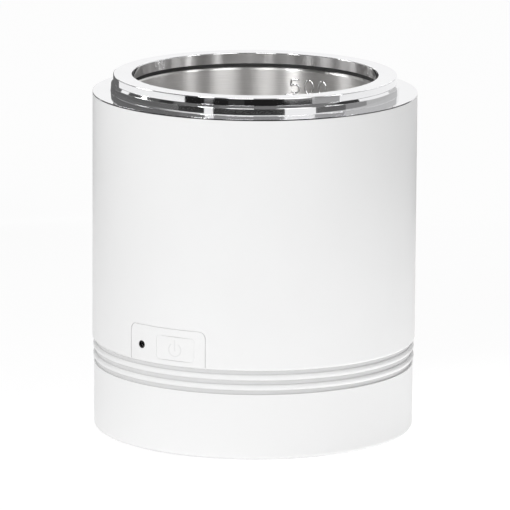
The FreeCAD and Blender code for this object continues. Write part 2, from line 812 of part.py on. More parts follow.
def panel_ears(lap_half):
    """Two bracket ears that reach back to the button board and take the panel screws."""
    ears = []
    low = panel_middle - ear_height / 2
    high = panel_middle + ear_height / 2
    for side in (-1, 1):
        x_low, x_high = sorted((side * (lap_half - ear_web), side * lap_half))
        web = box(x_low, x_high, -body_radius, board_front, low, high)
        web = web.common(rod(lap_radius, panel_top, V(0, 0, 0)))
        x_low, x_high = sorted((side * (lap_half - ear_web), side * (lap_half - ear_web + ear_reach)))
        plate = box(x_low, x_high, board_front - ear_thickness, board_front, low, high)
        plate = plate.cut(rod(clear_hole(panel_screw), ear_thickness,
                              V(side * ear_screw_place, board_front - ear_thickness, panel_middle), Y_AXIS))
        ears.append(web.fuse(plate))
    return ears


def power_button():
    width = button_width - 2 * button_clearance
    height = button_height - 2 * button_clearance
    cap = rounded_block(width, height, button_corner_radius - button_clearance, -2 * body_radius, pad_back,
                        button_offset, button_level)
    cap = cap.common(rod(body_radius, panel_top, V(0, 0, 0)))
    lip = rounded_block(button_width + 2 * button_lip, button_height + 2 * button_lip, button_corner_radius,
                        pad_back, lip_back, button_offset, button_level)
    stem = rod(button_stem_radius, button_stem_length, V(button_offset, lip_back, button_level), Y_AXIS)
    return cap.fuse([lip, stem])


def tact_switch():
    half = switch_size / 2
    body = box(button_offset - half, button_offset + half, switch_front, board_front,
               button_level - half, button_level + half)
    bore = plunger_radius + plunger_clearance
    travel_room = plunger_root + plunger_length
    return body.cut(rod(bore, travel_room, V(button_offset, switch_front, button_level), Y_AXIS))


def switch_plunger():
    length = plunger_length + plunger_root
    return rod(plunger_radius, length, V(button_offset, plunger_tip, button_level), Y_AXIS)


def button_board():
    half = button_board_height / 2
    board = box(-board_half, board_half, board_front, board_back, panel_middle - half, panel_middle + half)
    for side in (-1, 1):
        place = V(side * ear_screw_place, board_front, panel_middle)
        board = board.cut(rod(clear_hole(panel_screw), board_thickness, place, Y_AXIS))
    return board


def panel_screws():
    return [screw(panel_screw, V(side * ear_screw_place, board_back, panel_middle), Y_AXIS * -1)
            for side in (-1, 1)]


def indicator_led():
    """A round lamp that looks out of the panel's hole, on two stiff legs from the button board."""
    face = math.sqrt(body_radius ** 2 - led_offset ** 2)
    tip = -(face - led_recess)
    flange_front = -lap_bore + panel_lap_thickness + panel_pad_depth / 2
    dome_centre = V(-led_offset, tip + led_radius, led_level)
    body = Part.makeSphere(led_radius, dome_centre)
    body = body.fuse(rod(led_radius, flange_front - dome_centre.y, dome_centre, Y_AXIS))
    root = V(-led_offset, flange_front, led_level)
    body = body.fuse(rod(led_flange_radius, led_flange_thickness, root, Y_AXIS))
    for side in (-1, 1):
        start = root + X_AXIS * (side * led_lead_pitch / 2)
        body = body.fuse(rod(led_lead_radius, board_front - start.y, start, Y_AXIS))
    return body


def main_board():
    half_x = main_board_length / 2
    half_y = main_board_width / 2
    board = box(-half_x, half_x, main_board_shift - half_y, main_board_shift + half_y,
                main_board_low, main_board_top)
    for x_place, y_place in board_post_places():
        hole = rod(clear_hole(board_screw), board_thickness, V(x_place, y_place, main_board_low))
        board = board.cut(hole)
    return board


def board_screws():
    return [screw(board_screw, V(x_place, y_place, main_board_top), Z_AXIS * -1)
            for x_place, y_place in board_post_places()]


def block_on_board(size, place, radius):
    """A block with rounded upright edges that stands on the main board."""
    block = upright_block(place[0], place[1], size[0], size[1], main_board_top, main_board_top + size[2])
    upright = [e for e in block.Edges if abs(e.tangentAt(e.FirstParameter).z) > 0.5]
    return block.makeFillet(radius, upright)


def transformer():
    """A wound bobbin between the two flanges of its core."""
    length, width, height = transformer_size
    x_place, y_place = transformer_place
    body = block_on_board(transformer_size, transformer_place, block_edge_radius)
    window_length = length - 2 * transformer_core_lip
    for side in (-1, 1):
        body = body.cut(upright_block(x_place, y_place + side * width / 2,
                                      window_length, 2 * transformer_core_lip,
                                      main_board_top + transformer_core_lip, main_board_top + height))
    return body


def relay():
    return block_on_board(relay_size, relay_place, relay_edge_radius)


def capacitor():
    return rod(capacitor_radius, capacitor_height, V(*capacitor_place, main_board_top))


def terminal_block():
    return block_on_board(terminal_size, terminal_place, block_edge_radius)


def heater_terminal():
    return block_on_board(heater_terminal_size, heater_terminal_place, block_edge_radius)


def sensor_header():
    return block_on_board(sensor_header_size, sensor_header_place, block_edge_radius)


def button_header():
    return block_on_board(button_header_size, button_header_place, block_edge_radius)


def mains_inlet():
    """A two-pin appliance inlet: nose in the window, flange on the pad, body behind."""
    nose = rounded_block(inlet_nose_width, inlet_nose_height, inlet_nose_radius,
                         inlet_flange_back, inlet_face, 0, inlet_level)
    flange = rounded_block(inlet_flange_width, inlet_flange_height, inlet_nose_radius,
                           inlet_flange_back, inlet_pad_face, 0, inlet_level)
    body = rounded_block(inlet_body_width, inlet_body_height, inlet_nose_radius,
                         inlet_back, inlet_flange_back, 0, inlet_level)
    socket = rounded_block(socket_width, socket_height, socket_height / 2 - thread_clearance,
                           inlet_face - socket_depth, inlet_face, 0, inlet_level)
    inlet = nose.fuse([flange, body]).cut(socket)
    for side in (-1, 1):
        pin_bore = rod(pin_radius + thread_clearance, inlet_face - inlet_back,
                       V(side * pin_pitch / 2, inlet_back, inlet_level), Y_AXIS)
        screw_bore = rod(clear_hole(inlet_screw), inlet_flange_thickness,
                         V(side * inlet_screw_pitch / 2, inlet_flange_back, inlet_level), Y_AXIS)
        inlet = inlet.cut([pin_bore, screw_bore])
    return inlet


def inlet_pins():
    pins = []
    for side in (-1, 1):
        start = V(side * pin_pitch / 2, pin_back, inlet_level)
        tip = V(start.x, pin_front - pin_radius, inlet_level)
        pins.append(rod(pin_radius, tip.y - start.y, start, Y_AXIS).fuse(Part.makeSphere(pin_radius, tip)))
    return pins


def inlet_screws():
    return [screw(inlet_screw, V(side * inlet_screw_pitch / 2, inlet_flange_back, inlet_level), Y_AXIS)
            for side in (-1, 1)]


def inlet_leads():
    start = terminal_place[1] + terminal_size[1] / 2
    return [rod(lead_radius, pin_back - start, V(side * pin_pitch / 2, start, inlet_level), Y_AXIS)
            for side in (-1, 1)]


def heater_leads():
    """Two wires from the heater terminal, up past the heat shield to the heater's tabs."""
    start_x, start_y = heater_terminal_place
    start_z = main_board_top + heater_terminal_size[2]
    tab_low = band_low - tab_length
    wire_circle = bowl_radius + band_fit + lead_radius
    leads = []
    for side in (-1, 1):
        angle = math.radians(side * tab_angle)
        end_x = wire_circle * math.cos(angle)
        end_y = wire_circle * math.sin(angle)
        near_y = start_y + side * heater_terminal_size[1] / 4
        leads.append(lead([(start_x, near_y, start_z), (start_x, near_y, start_z + lead_rise),
                           (end_x, end_y, tab_low - lead_drop), (end_x, end_y, tab_low)], lead_radius))
    return leads


def sensor_leads():
    """Two wires from the thermostat's blades down to their header."""
    top = bowl_bottom - thermostat_cup_height - thermostat_body_height - blade_length
    x_place, y_place = sensor_header_place
    low = main_board_top + sensor_header_size[2]
    step = (top - low) / 3
    leads = []
    for side in (-1, 1):
        x_wire = x_place + side * blade_pitch / 2
        leads.append(lead([(x_wire, 0, top), (x_wire, 0, top - step), (x_wire, y_place, low + step),
                           (x_wire, y_place, low)], lead_radius))
    return leads


def button_leads():
    """Thin wires from the button board's back down to their header."""
    x_place, y_place = button_header_place
    low = main_board_top + button_header_size[2]
    start_z = panel_middle - button_board_height / 4
    leads = []
    for index in range(button_lead_count):
        x_wire = x_place + (index - (button_lead_count - 1) / 2) * thin_lead_pitch
        leads.append(lead([(x_wire, board_back, start_z), (x_wire, board_back + lead_rise, start_z),
                           (x_wire, y_place, low + lead_rise), (x_wire, y_place, low)], thin_lead_radius))
    return leads


NODES = [outer_shell, base_shell, base_screws, rubber_feet, trim_ring, trim_screws, seat_gasket,
         wax_pot, pot_collar, collar_seal, heating_bowl, heater_band, heater_clamp, clamp_screw,
         insulation_sleeve, thermostat, thermal_fuse, fuse_clip, bowl_screws, shield_standoffs, heat_shield,
         shield_screws, control_panel, power_button, tact_switch, switch_plunger, button_board, panel_screws,
         indicator_led, main_board, board_screws, transformer, relay, capacitor, terminal_block,
         heater_terminal, sensor_header, button_header, mains_inlet, inlet_pins, inlet_screws, inlet_leads,
         heater_leads, sensor_leads, button_leads]

os.makedirs("parts", exist_ok=True)
for make in NODES:
    made = make()
    solids = made if isinstance(made, list) else [made]
    shape = Part.makeCompound([solid.removeSplitter() for solid in solids])
    shape.exportStep("parts/" + make.__name__ + ".step")
    print(make.__name__, len(shape.Solids), round(shape.Volume, 1), shape.isValid())
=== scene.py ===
import json
import math

import bmesh
import bpy
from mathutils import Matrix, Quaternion, Vector


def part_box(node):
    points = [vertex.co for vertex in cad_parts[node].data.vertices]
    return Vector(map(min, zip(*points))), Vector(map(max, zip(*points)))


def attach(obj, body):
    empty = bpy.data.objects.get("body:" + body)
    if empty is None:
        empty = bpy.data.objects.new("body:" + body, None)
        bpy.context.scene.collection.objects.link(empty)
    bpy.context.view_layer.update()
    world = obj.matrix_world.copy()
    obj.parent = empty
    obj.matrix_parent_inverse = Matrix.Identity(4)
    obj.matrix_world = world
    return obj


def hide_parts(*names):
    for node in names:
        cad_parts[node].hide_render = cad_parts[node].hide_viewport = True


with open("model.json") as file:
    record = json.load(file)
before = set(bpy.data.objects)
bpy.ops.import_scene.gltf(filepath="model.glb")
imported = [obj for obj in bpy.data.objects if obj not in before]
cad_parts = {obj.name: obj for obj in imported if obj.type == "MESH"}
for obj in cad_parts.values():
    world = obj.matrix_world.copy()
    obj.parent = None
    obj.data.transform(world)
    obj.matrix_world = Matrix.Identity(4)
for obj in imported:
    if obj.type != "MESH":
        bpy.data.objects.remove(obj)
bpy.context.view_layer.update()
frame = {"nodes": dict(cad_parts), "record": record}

# Sizes in metres, taken from the frame where the part has them
MM = 0.001
BODY_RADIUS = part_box("outer_shell")[1].x
SHELL_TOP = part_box("outer_shell")[1].z
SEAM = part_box("outer_shell")[0].z
TIER_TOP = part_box("trim_ring")[1].z
COLLAR_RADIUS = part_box("pot_collar")[1].x
COLLAR_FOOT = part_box("pot_collar")[0].z
COLLAR_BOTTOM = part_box("seat_gasket")[1].z
RIM_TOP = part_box("pot_collar")[1].z
LIP_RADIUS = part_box("wax_pot")[1].x
LIP_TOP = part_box("wax_pot")[1].z
LIP_BEND = 1.2 * MM
MOUTH_RADIUS = LIP_RADIUS - LIP_BEND
BAND_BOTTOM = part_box("collar_seal")[1].z
SKIRT_INNER = LIP_RADIUS + 0.1 * MM
SKIRT_OUTER = SKIRT_INNER + 0.6 * MM
TRIM_BORE = SKIRT_OUTER + 0.4 * MM
TIER_BEVEL = 1.0 * MM
TIER_DRAFT = 0.18 * MM
TIER_RADIUS = COLLAR_RADIUS + TIER_BEVEL
FLANGE_TOP = SHELL_TOP + 0.6 * MM
GASKET_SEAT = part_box("seat_gasket")[0].z
GASKET_INNER = 54.2 * MM
GASKET_OUTER = 56.2 * MM
BEAD_RADIUS = 1.2 * MM
GROOVE_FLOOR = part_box("base_shell")[1].x - BEAD_RADIUS
BUTTON_LOW, BUTTON_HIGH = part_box("power_button")
BUTTON_MIDDLE = (BUTTON_LOW + BUTTON_HIGH) / 2
BUTTON_WIDTH = 16.7 * MM
BUTTON_HEIGHT = 9.4 * MM
BUTTON_CORNER = 1.3 * MM
PANEL_HALF = 17.3 * MM
PANEL_BOTTOM = SEAM + 0.02 * MM
PANEL_TOP = SEAM + 14.9 * MM
PANEL_CORNER = 2.6 * MM

# Fineness of the meshes: steps of an arc, and the angles in degrees over which an edge stays sharp
LATHE_STEPS = 360
EDGE_STEPS = 5
CORNER_STEPS = 8
CARD_STEPS = 24
SHARP_ANGLE = 32
STROKE_SHARP_ANGLE = 60

# Camera, from a fit of the body's outlines in the photograph, with angles in degrees
PHOTO_WIDTH = 510
SENSOR_WIDTH = 36.0
FOCAL_PIXELS = 5764
CAMERA_AZIMUTH = 32.5
CAMERA_ELEVATION = 11.72
CAMERA_DISTANCE = 2.32
CAMERA_ROLL = 0.36
CAMERA_PAN_PIXELS = 0.97
CAMERA_REACH = 100
AIM_HEIGHT = 70.5 * MM

# Reflection cards: bearings from the camera in degrees, heights in degrees over the rim, brightness
CARD_DISTANCE = 0.45
FLANGE_CARDS = (-18.5, -12)
COLLAR_CARDS = (-12, -8.4)
TIER_CARDS = (-8.4, -2.5)
GLANCE_CARDS = (3, 17)
SKY_CARDS = (17, 46)
LOW_SKY_CARDS = (17, 34)
HIGH_SKY_CARDS = (34, 46)
ZENITH_CARDS = (46, 86)
CARDS = [
    ("flange_dark", (-138, 60), FLANGE_CARDS, 0.02),
    ("flange_grey", (60, 180), FLANGE_CARDS, 0.12),
    ("collar_dark_left", (-55, -39), COLLAR_CARDS, 0.015),
    ("collar_streak", (-39, -32), COLLAR_CARDS, 0.12),
    ("collar_dark", (-32, -20), COLLAR_CARDS, 0.015),
    ("collar_faint_streak", (-20, -8), COLLAR_CARDS, 0.04),
    ("collar_dark_right", (-8, 26), COLLAR_CARDS, 0.015),
    ("collar_fade", (26, 44), COLLAR_CARDS, 0.06),
    ("collar_grey", (44, 68), COLLAR_CARDS, 0.38),
    ("tier_left", (-150, -59), TIER_CARDS, 0.13),
    ("tier_dark_left", (-59, -38), TIER_CARDS, 0.04),
    ("tier_dark_middle", (-31, 22), TIER_CARDS, 0.04),
    ("tier_dark_right", (46, 72), TIER_CARDS, 0.13),
    ("tier_right", (72, 94), TIER_CARDS, 0.28),
    ("tier_far_right", (94, 150), TIER_CARDS, 0.5),
    ("glance_left", (-150, -59), GLANCE_CARDS, 0.16),
    ("glance_dark_left", (-59, -38), GLANCE_CARDS, 0.2),
    ("glance_dark_middle", (-31, 22), GLANCE_CARDS, 0.32),
    ("glance_dark_right", (46, 72), GLANCE_CARDS, 0.4),
    ("glance_right", (72, 150), GLANCE_CARDS, 0.6),
    ("sky_far_right", (73, 104), SKY_CARDS, 0.05),
    ("sky_strip_right", (67, 73), SKY_CARDS, 10.0),
    ("sky_right", (45, 67), SKY_CARDS, 0.05),
    ("sky_soft_right", (19, 45), SKY_CARDS, 4.8),
    ("sky_middle_right", (-1, 19), SKY_CARDS, 0.1),
    ("sky_strip_middle", (-22, -1), SKY_CARDS, 4.8),
    ("sky_middle_left", (-37, -22), SKY_CARDS, 0.04),
    ("sky_strip_left", (-45, -37), SKY_CARDS, 18.0),
    ("sky_left", (-96, -45), SKY_CARDS, 0.04),
    ("sky_strip_far_left", (-112, -96), LOW_SKY_CARDS, 9.0),
    ("sky_high_far_left", (-112, -96), HIGH_SKY_CARDS, 0.1),
    ("sky_far_left", (-126, -112), SKY_CARDS, 0.1),
    ("back_dark_left", (-168, -150), SKY_CARDS, 0.05),
    ("back_strip_left", (-174, -168), SKY_CARDS, 3.0),
    ("back_middle", (-186, -174), SKY_CARDS, 0.3),
    ("back_dark_right", (-202, -186), SKY_CARDS, 0.05),
    ("back_strip_right", (-210, -202), SKY_CARDS, 3.0),
    ("zenith_left", (-150, -40), ZENITH_CARDS, 0.15),
    ("zenith_middle", (-40, 88), ZENITH_CARDS, 0.2),
    ("zenith_right", (112, 150), ZENITH_CARDS, 0.42),
]


# Places

def heading(azimuth):
    """The level direction from the body's axis at an azimuth in radians, where 0 is the panel's side."""
    return Vector((math.sin(azimuth), -math.cos(azimuth), 0))


def toward(bearing, elevation):
    """The direction at a bearing from the camera and an elevation over the level, both in degrees."""
    level = heading(math.radians(CAMERA_AZIMUTH) + math.radians(bearing))
    rise = math.radians(elevation)
    return level * math.cos(rise) + Vector((0, 0, math.sin(rise)))


def wall_front(x, radius=BODY_RADIUS):
    """Where the front of a round wall stands in y at a place across."""
    return -math.sqrt(radius ** 2 - x ** 2)


# Outlines

def arc(middle, radius_x, radius_y, start, end, steps=40):
    points = []
    for step in range(steps + 1):
        turn = math.radians(start + (end - start) * step / steps)
        points.append(Vector((middle[0] + radius_x * math.cos(turn), middle[1] + radius_y * math.sin(turn))))
    return points


def ellipse(middle, radius_x, radius_y, steps=40):
    """A closed outline, whose first point isn't repeated at its end."""
    return arc(middle, radius_x, radius_y, 0, 360, steps)[:-1]


def quarter_arc(middle, radius, start):
    return arc(middle, radius, radius, start, start + 90, CORNER_STEPS)


def line(start, end, steps=12):
    return [Vector(start).lerp(Vector(end), step / steps) for step in range(steps + 1)]


def rounded(points):
    """An outline of (radius, height, corner radius) points with its corners turned into arcs."""
    outline = []
    for index, (x, z, corner) in enumerate(points):
        here = Vector((x, z))
        if corner == 0:
            outline.append(here)
            continue
        before = Vector(points[index - 1][:2])
        after = Vector(points[(index + 1) % len(points)][:2])
        back = (before - here).normalized()
        ahead = (after - here).normalized()
        half = back.angle(ahead) / 2
        reach = corner / math.tan(half)
        centre = here + (back + ahead).normalized() * corner / math.sin(half)
        start = here + back * reach - centre
        end = here + ahead * reach - centre
        for step in range(EDGE_STEPS + 1):
            spoke = start.normalized().slerp(end.normalized(), step / EDGE_STEPS)
            outline.append(centre + spoke * corner)
    return outline


# Meshes

def add_object(name, data):
    """A new object in the scene."""
    item = bpy.data.objects.new(name, data)
    bpy.context.scene.collection.objects.link(item)
    return item


def mesh_object(name, build):
    """A new object whose mesh the build function fills."""
    mesh = bpy.data.meshes.new(name)
    shape = bmesh.new()
    build(shape)
    bmesh.ops.recalc_face_normals(shape, faces=shape.faces)
    shape.to_mesh(mesh)
    shape.free()
    return add_object(name, mesh)


def skin(shape, rows, rows_close=True, points_close=True):
    """Faces between neighbouring rows of points. All rows are of one length."""
    count = len(rows[0])
    for index in range(len(rows) if rows_close else len(rows) - 1):
        here = rows[index]
        there = rows[(index + 1) % len(rows)]
        for step in range(count if points_close else count - 1):
            following = (step + 1) % count
            shape.faces.new((here[step], there[step], there[following], here[following]))


def smooth(piece, angle=SHARP_ANGLE):
    piece.data.shade_smooth()
    piece.data.set_sharp_from_angle(angle=math.radians(angle))
    return piece


def lathe(name, points):
    """Turn a closed outline about the body's axis."""
    outline = rounded(points)

    def build(shape):
        rows = []
        for step in range(LATHE_STEPS):
            direction = heading(2 * math.pi * step / LATHE_STEPS)
            rows.append([shape.verts.new(direction * p.x + Vector((0, 0, p.y))) for p in outline])
        skin(shape, rows)

    piece = smooth(mesh_object(name, build))
    flat = piece.modifiers.new("flat_faces_first", "WEIGHTED_NORMAL")
    flat.weight = 100
    flat.keep_sharp = True
    return piece


# A stroke's round-backed section: shares of its width across and of its relief up
STROKE_SECTION = ((-0.5, 0), (-0.42, 0.55), (-0.2, 0.93), (0.2, 0.93), (0.42, 0.55), (0.5, 0))


def ribbon(name, paths, width, on_surface):
    """Raised strokes along (path, closed) pairs. on_surface turns (across, up, height) into a place."""

    def build(shape):
        for path, closed in paths:
            rows = []
            count = len(path)
            for index, point in enumerate(path):
                before = path[index - 1] if closed or index else point
                after = path[(index + 1) % count] if closed or index + 1 < count else point
                along = (after - before).normalized()
                side = Vector((-along.y, along.x)) * width
                row = []
                for share, height in STROKE_SECTION:
                    spot = point + side * share
                    row.append(shape.verts.new(on_surface(spot.x, spot.y, height)))
                rows.append(row)
            if not closed:
                shape.faces.new(rows[0])
                shape.faces.new(rows[-1])
            skin(shape, rows, rows_close=closed)

    return smooth(mesh_object(name, build), STROKE_SHARP_ANGLE)


def wall_strip(name, rings, closed=True):
    """A strip set in the round wall. Each ring is an outline of (x, z) points and a depth below the face."""

    def build(shape):
        rows = []
        for outline, depth in rings:
            rows.append([shape.verts.new((p.x, wall_front(p.x) + depth, p.y)) for p in outline])
        skin(shape, rows, points_close=closed)
        if not closed:
            shape.faces.new([row[0] for row in rows])
            shape.faces.new([row[-1] for row in rows])

    return smooth(mesh_object(name, build))


# Shader nodes

WHITE = (1, 1, 1, 1)
TEXTURE_LOW = 0.3
TEXTURE_HIGH = 0.7


def new_material(name):
    material = bpy.data.materials.new(name)
    material.use_nodes = True
    nodes = material.node_tree.nodes
    return material, nodes, material.node_tree.links, nodes["Principled BSDF"]


def set_sockets(node, **values):
    """Constant values on a node's own sockets, with underscores for the spaces in their names."""
    for name, value in values.items():
        node.inputs[name.replace("_", " ")].default_value = value


def calculate(nodes, links, operation, *values):
    """A math node's result. Each value is a number or the output of another node."""
    node = nodes.new("ShaderNodeMath")
    node.operation = operation
    for socket, value in zip(node.inputs, values):
        if isinstance(value, (int, float)):
            socket.default_value = value
        else:
            links.new(value, socket)
    return node.outputs[0]


def mixed(nodes, links, share, first, second):
    """Two shaders mixed, where a share of 1 is all of the second."""
    node = nodes.new("ShaderNodeMixShader")
    links.new(share, node.inputs["Fac"])
    links.new(first, node.inputs[1])
    links.new(second, node.inputs[2])
    return node.outputs[0]


def object_place(nodes):
    return nodes.new("ShaderNodeTexCoord").outputs["Object"]


def texture_place(nodes, links, scale=(1, 1, 1), location=(0, 0, 0)):
    mapping = nodes.new("ShaderNodeMapping")
    set_sockets(mapping, Scale=scale, Location=location)
    links.new(object_place(nodes), mapping.inputs["Vector"])
    return mapping.outputs["Vector"]


def split_place(nodes, links, place):
    """The X, Y and Z outputs of a place."""
    split = nodes.new("ShaderNodeSeparateXYZ")
    links.new(place, split.inputs["Vector"])
    return split.outputs["X"], split.outputs["Y"], split.outputs["Z"]


def join_place(nodes, links, x, y):
    joined = nodes.new("ShaderNodeCombineXYZ")
    links.new(x, joined.inputs["X"])
    links.new(y, joined.inputs["Y"])
    return joined.outputs["Vector"]


def turned_place(nodes, links, around, up):
    """Texture coordinates that run round the body's axis and up it."""
    x, y, z = split_place(nodes, links, object_place(nodes))
    angle = calculate(nodes, links, "ARCTAN2", y, x)
    across = calculate(nodes, links, "MULTIPLY", angle, around)
    return join_place(nodes, links, across, calculate(nodes, links, "MULTIPLY", z, up))


def noise(nodes, links, vector, scale, detail=3.0, roughness=0.5):
    texture = nodes.new("ShaderNodeTexNoise")
    set_sockets(texture, Scale=scale, Detail=detail, Roughness=roughness)
    links.new(vector, texture.inputs["Vector"])
    return texture.outputs["Fac"]


def map_range(nodes, links, value, **ends):
    ramp = nodes.new("ShaderNodeMapRange")
    set_sockets(ramp, **ends)
    links.new(value, ramp.inputs["Value"])
    return ramp.outputs["Result"]


def spread(nodes, links, value, low, high):
    """Map a texture's middle range onto low to high."""
    return map_range(nodes, links, value, From_Min=TEXTURE_LOW, From_Max=TEXTURE_HIGH,
                     To_Min=low, To_Max=high)


def tint(nodes, links, value, dark, light, low=TEXTURE_LOW, high=TEXTURE_HIGH):
    """Map values from low to high onto two colours."""
    ramp = nodes.new("ShaderNodeValToRGB")
    ends = ramp.color_ramp.elements
    ends[0].position = low
    ends[0].color = (*dark, 1)
    ends[1].position = high
    ends[1].color = (*light, 1)
    links.new(value, ramp.inputs["Fac"])
    return ramp.outputs["Color"]


def add_bump(nodes, links, shader, height, distance):
    bump = nodes.new("ShaderNodeBump")
    set_sockets(bump, Distance=distance)
    links.new(height, bump.inputs["Height"])
    links.new(bump.outputs["Normal"], shader.inputs["Normal"])


def add_grain(nodes, links, shader, vector, grain, rough, bump):
    """A grained roughness with a fine bump."""
    fine = noise(nodes, links, vector, grain, detail=4.0)
    links.new(spread(nodes, links, fine, *rough), shader.inputs["Roughness"])
    add_bump(nodes, links, shader, fine, bump)


# Materials

PLASTIC_GRAIN = 2600
PLASTIC_ROUGH = (0.36, 0.46)
PLASTIC_BUMP = 0.004 * MM


def surface(name, dark, light, rough, metallic=0.0, cloud=90, grain=1600, bump=0.01 * MM, stretch=(1, 1, 1)):
    """A finish with a clouded colour, a grained roughness and a fine bump."""
    material, nodes, links, shader = new_material(name)
    set_sockets(shader, Metallic=metallic)
    vector = texture_place(nodes, links, stretch)
    clouds = noise(nodes, links, vector, cloud)
    links.new(tint(nodes, links, clouds, dark, light), shader.inputs["Base Color"])
    add_grain(nodes, links, shader, vector, grain, rough, bump)
    return material


def brushed_steel(name):
    """Stainless steel brushed round the axis: fine lines along the turn and a stretched gloss."""
    dark = (0.70, 0.69, 0.68)
    light = (0.84, 0.83, 0.82)
    rough = (0.31, 0.37)
    material, nodes, links, shader = new_material(name)
    set_sockets(shader, Metallic=1.0, Anisotropic=0.95, Anisotropic_Rotation=0.25)
    tangent = nodes.new("ShaderNodeTangent")
    tangent.direction_type = "RADIAL"
    tangent.axis = "Z"
    links.new(tangent.outputs["Tangent"], shader.inputs["Tangent"])
    vector = turned_place(nodes, links, around=3.0, up=5200)
    lines = noise(nodes, links, vector, scale=1.0, detail=5.0, roughness=0.6)
    links.new(tint(nodes, links, lines, dark, light), shader.inputs["Base Color"])
    links.new(spread(nodes, links, lines, *rough), shader.inputs["Roughness"])
    add_bump(nodes, links, shader, lines, distance=0.004 * MM)
    return material


def chrome(name):
    """Bright plate with a very faint haze of handling marks."""
    dark = (0.83, 0.83, 0.84)
    light = (0.87, 0.87, 0.88)
    rough = (0.03, 0.07)
    material, nodes, links, shader = new_material(name)
    set_sockets(shader, Metallic=1.0)
    vector = texture_place(nodes, links)
    haze = noise(nodes, links, vector, scale=60, detail=5.0, roughness=0.6)
    links.new(tint(nodes, links, haze, dark, light), shader.inputs["Base Color"])
    links.new(spread(nodes, links, haze, *rough), shader.inputs["Roughness"])
    waves = noise(nodes, links, vector, scale=260, detail=2.0)
    add_bump(nodes, links, shader, waves, distance=0.002 * MM)
    return material


def groove_shaded_plastic(name):
    """The base's white plastic with painted shade: darker down in its turned grooves than on its beads."""
    # The grooves' darker white is painted shade; the beads keep the plain white of the plastic.
    groove_shade = (0.70, 0.70, 0.70)
    polished = (0.875, 0.875, 0.875)
    groove_shade_radius = GROOVE_FLOOR + 0.1 * MM
    unshaded_radius = GROOVE_FLOOR + 0.6 * MM
    material, nodes, links, shader = new_material(name)
    place = object_place(nodes)
    x, y, _ = split_place(nodes, links, place)
    radius = nodes.new("ShaderNodeVectorMath")
    radius.operation = "LENGTH"
    links.new(join_place(nodes, links, x, y), radius.inputs[0])
    height = map_range(nodes, links, radius.outputs["Value"], From_Min=groove_shade_radius, From_Max=unshaded_radius)
    links.new(tint(nodes, links, height, groove_shade, polished, low=0, high=1), shader.inputs["Base Color"])
    add_grain(nodes, links, shader, place, PLASTIC_GRAIN, PLASTIC_ROUGH, PLASTIC_BUMP)
    return material


WHITE_PLASTIC = surface("white_plastic", (0.86, 0.86, 0.86), (0.89, 0.89, 0.89), PLASTIC_ROUGH,
                        cloud=14, grain=PLASTIC_GRAIN, bump=PLASTIC_BUMP)
# The base's white plastic, with painted shade down in its grooves
GROOVE_SHADED_PLASTIC = groove_shaded_plastic("white_plastic_groove_shaded")
SYMBOL_GREY = surface("symbol_grey", (0.8, 0.8, 0.8), (0.83, 0.83, 0.83), (0.4, 0.5))
CHROME = chrome("chrome")
MATERIALS = {
    "white_plastic": WHITE_PLASTIC,
    "chrome": CHROME,
    "stainless_steel": brushed_steel("stainless_steel"),
    "black_rubber": surface("black_rubber", (0.016, 0.016, 0.016), (0.03, 0.03, 0.03), (0.6, 0.8),
                            bump=0.02 * MM),
    "cast_aluminium": surface("cast_aluminium", (0.6, 0.6, 0.61), (0.72, 0.72, 0.73), (0.3, 0.5),
                              metallic=1.0, stretch=(1, 1, 12), bump=0.008 * MM),
    "zinc_steel": surface("zinc_steel", (0.56, 0.57, 0.58), (0.68, 0.68, 0.68), (0.22, 0.4), metallic=1.0),
    "mica_heater": surface("mica_heater", (0.42, 0.34, 0.22), (0.62, 0.54, 0.4), (0.3, 0.55), cloud=260),
    "fibre_insulation": surface("fibre_insulation", (0.66, 0.63, 0.56), (0.86, 0.84, 0.78), (0.85, 1.0),
                                cloud=500, grain=3000, bump=0.2 * MM),
    "thermal_device": surface("thermal_device", (0.05, 0.05, 0.055), (0.09, 0.09, 0.095), (0.4, 0.6)),
    "circuit_board": surface("circuit_board", (0.01, 0.09, 0.03), (0.02, 0.14, 0.05), (0.25, 0.4), cloud=400),
    "black_plastic": surface("black_plastic", (0.014, 0.014, 0.015), (0.024, 0.024, 0.025), (0.38, 0.55)),
    "terminal_plastic": surface("terminal_plastic", (0.6, 0.59, 0.54), (0.72, 0.71, 0.66), (0.4, 0.55)),
    "capacitor_sleeve": surface("capacitor_sleeve", (0.01, 0.012, 0.03), (0.02, 0.024, 0.05), (0.2, 0.32)),
    "lamp_lens": surface("lamp_lens", (0.004, 0.004, 0.004), (0.008, 0.008, 0.008), (0.2, 0.3)),
    "plated_brass": surface("plated_brass", (0.62, 0.58, 0.46), (0.74, 0.7, 0.58), (0.15, 0.3), metallic=1.0),
    "lead_insulation": surface("lead_insulation", (0.62, 0.6, 0.54), (0.74, 0.72, 0.66), (0.5, 0.65)),
}


def paint(piece, material):
    piece.data.materials.clear()
    piece.data.materials.append(material)


def paint_cad_nodes():
    """Give every node of the frame the finish of its slot in the record, and the base a white with painted
    shade in its grooves.
    """
    for part in frame["record"]["subparts"]:
        paint(frame["nodes"][part["node"]], MATERIALS[part["material_slot"]])
    paint(frame["nodes"]["base_shell"], GROOVE_SHADED_PLASTIC)


# Pieces of the object

def dress(piece, body, slot, material, *nodes):
    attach(piece, body)
    paint(piece, material)
    if nodes:
        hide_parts(*nodes)


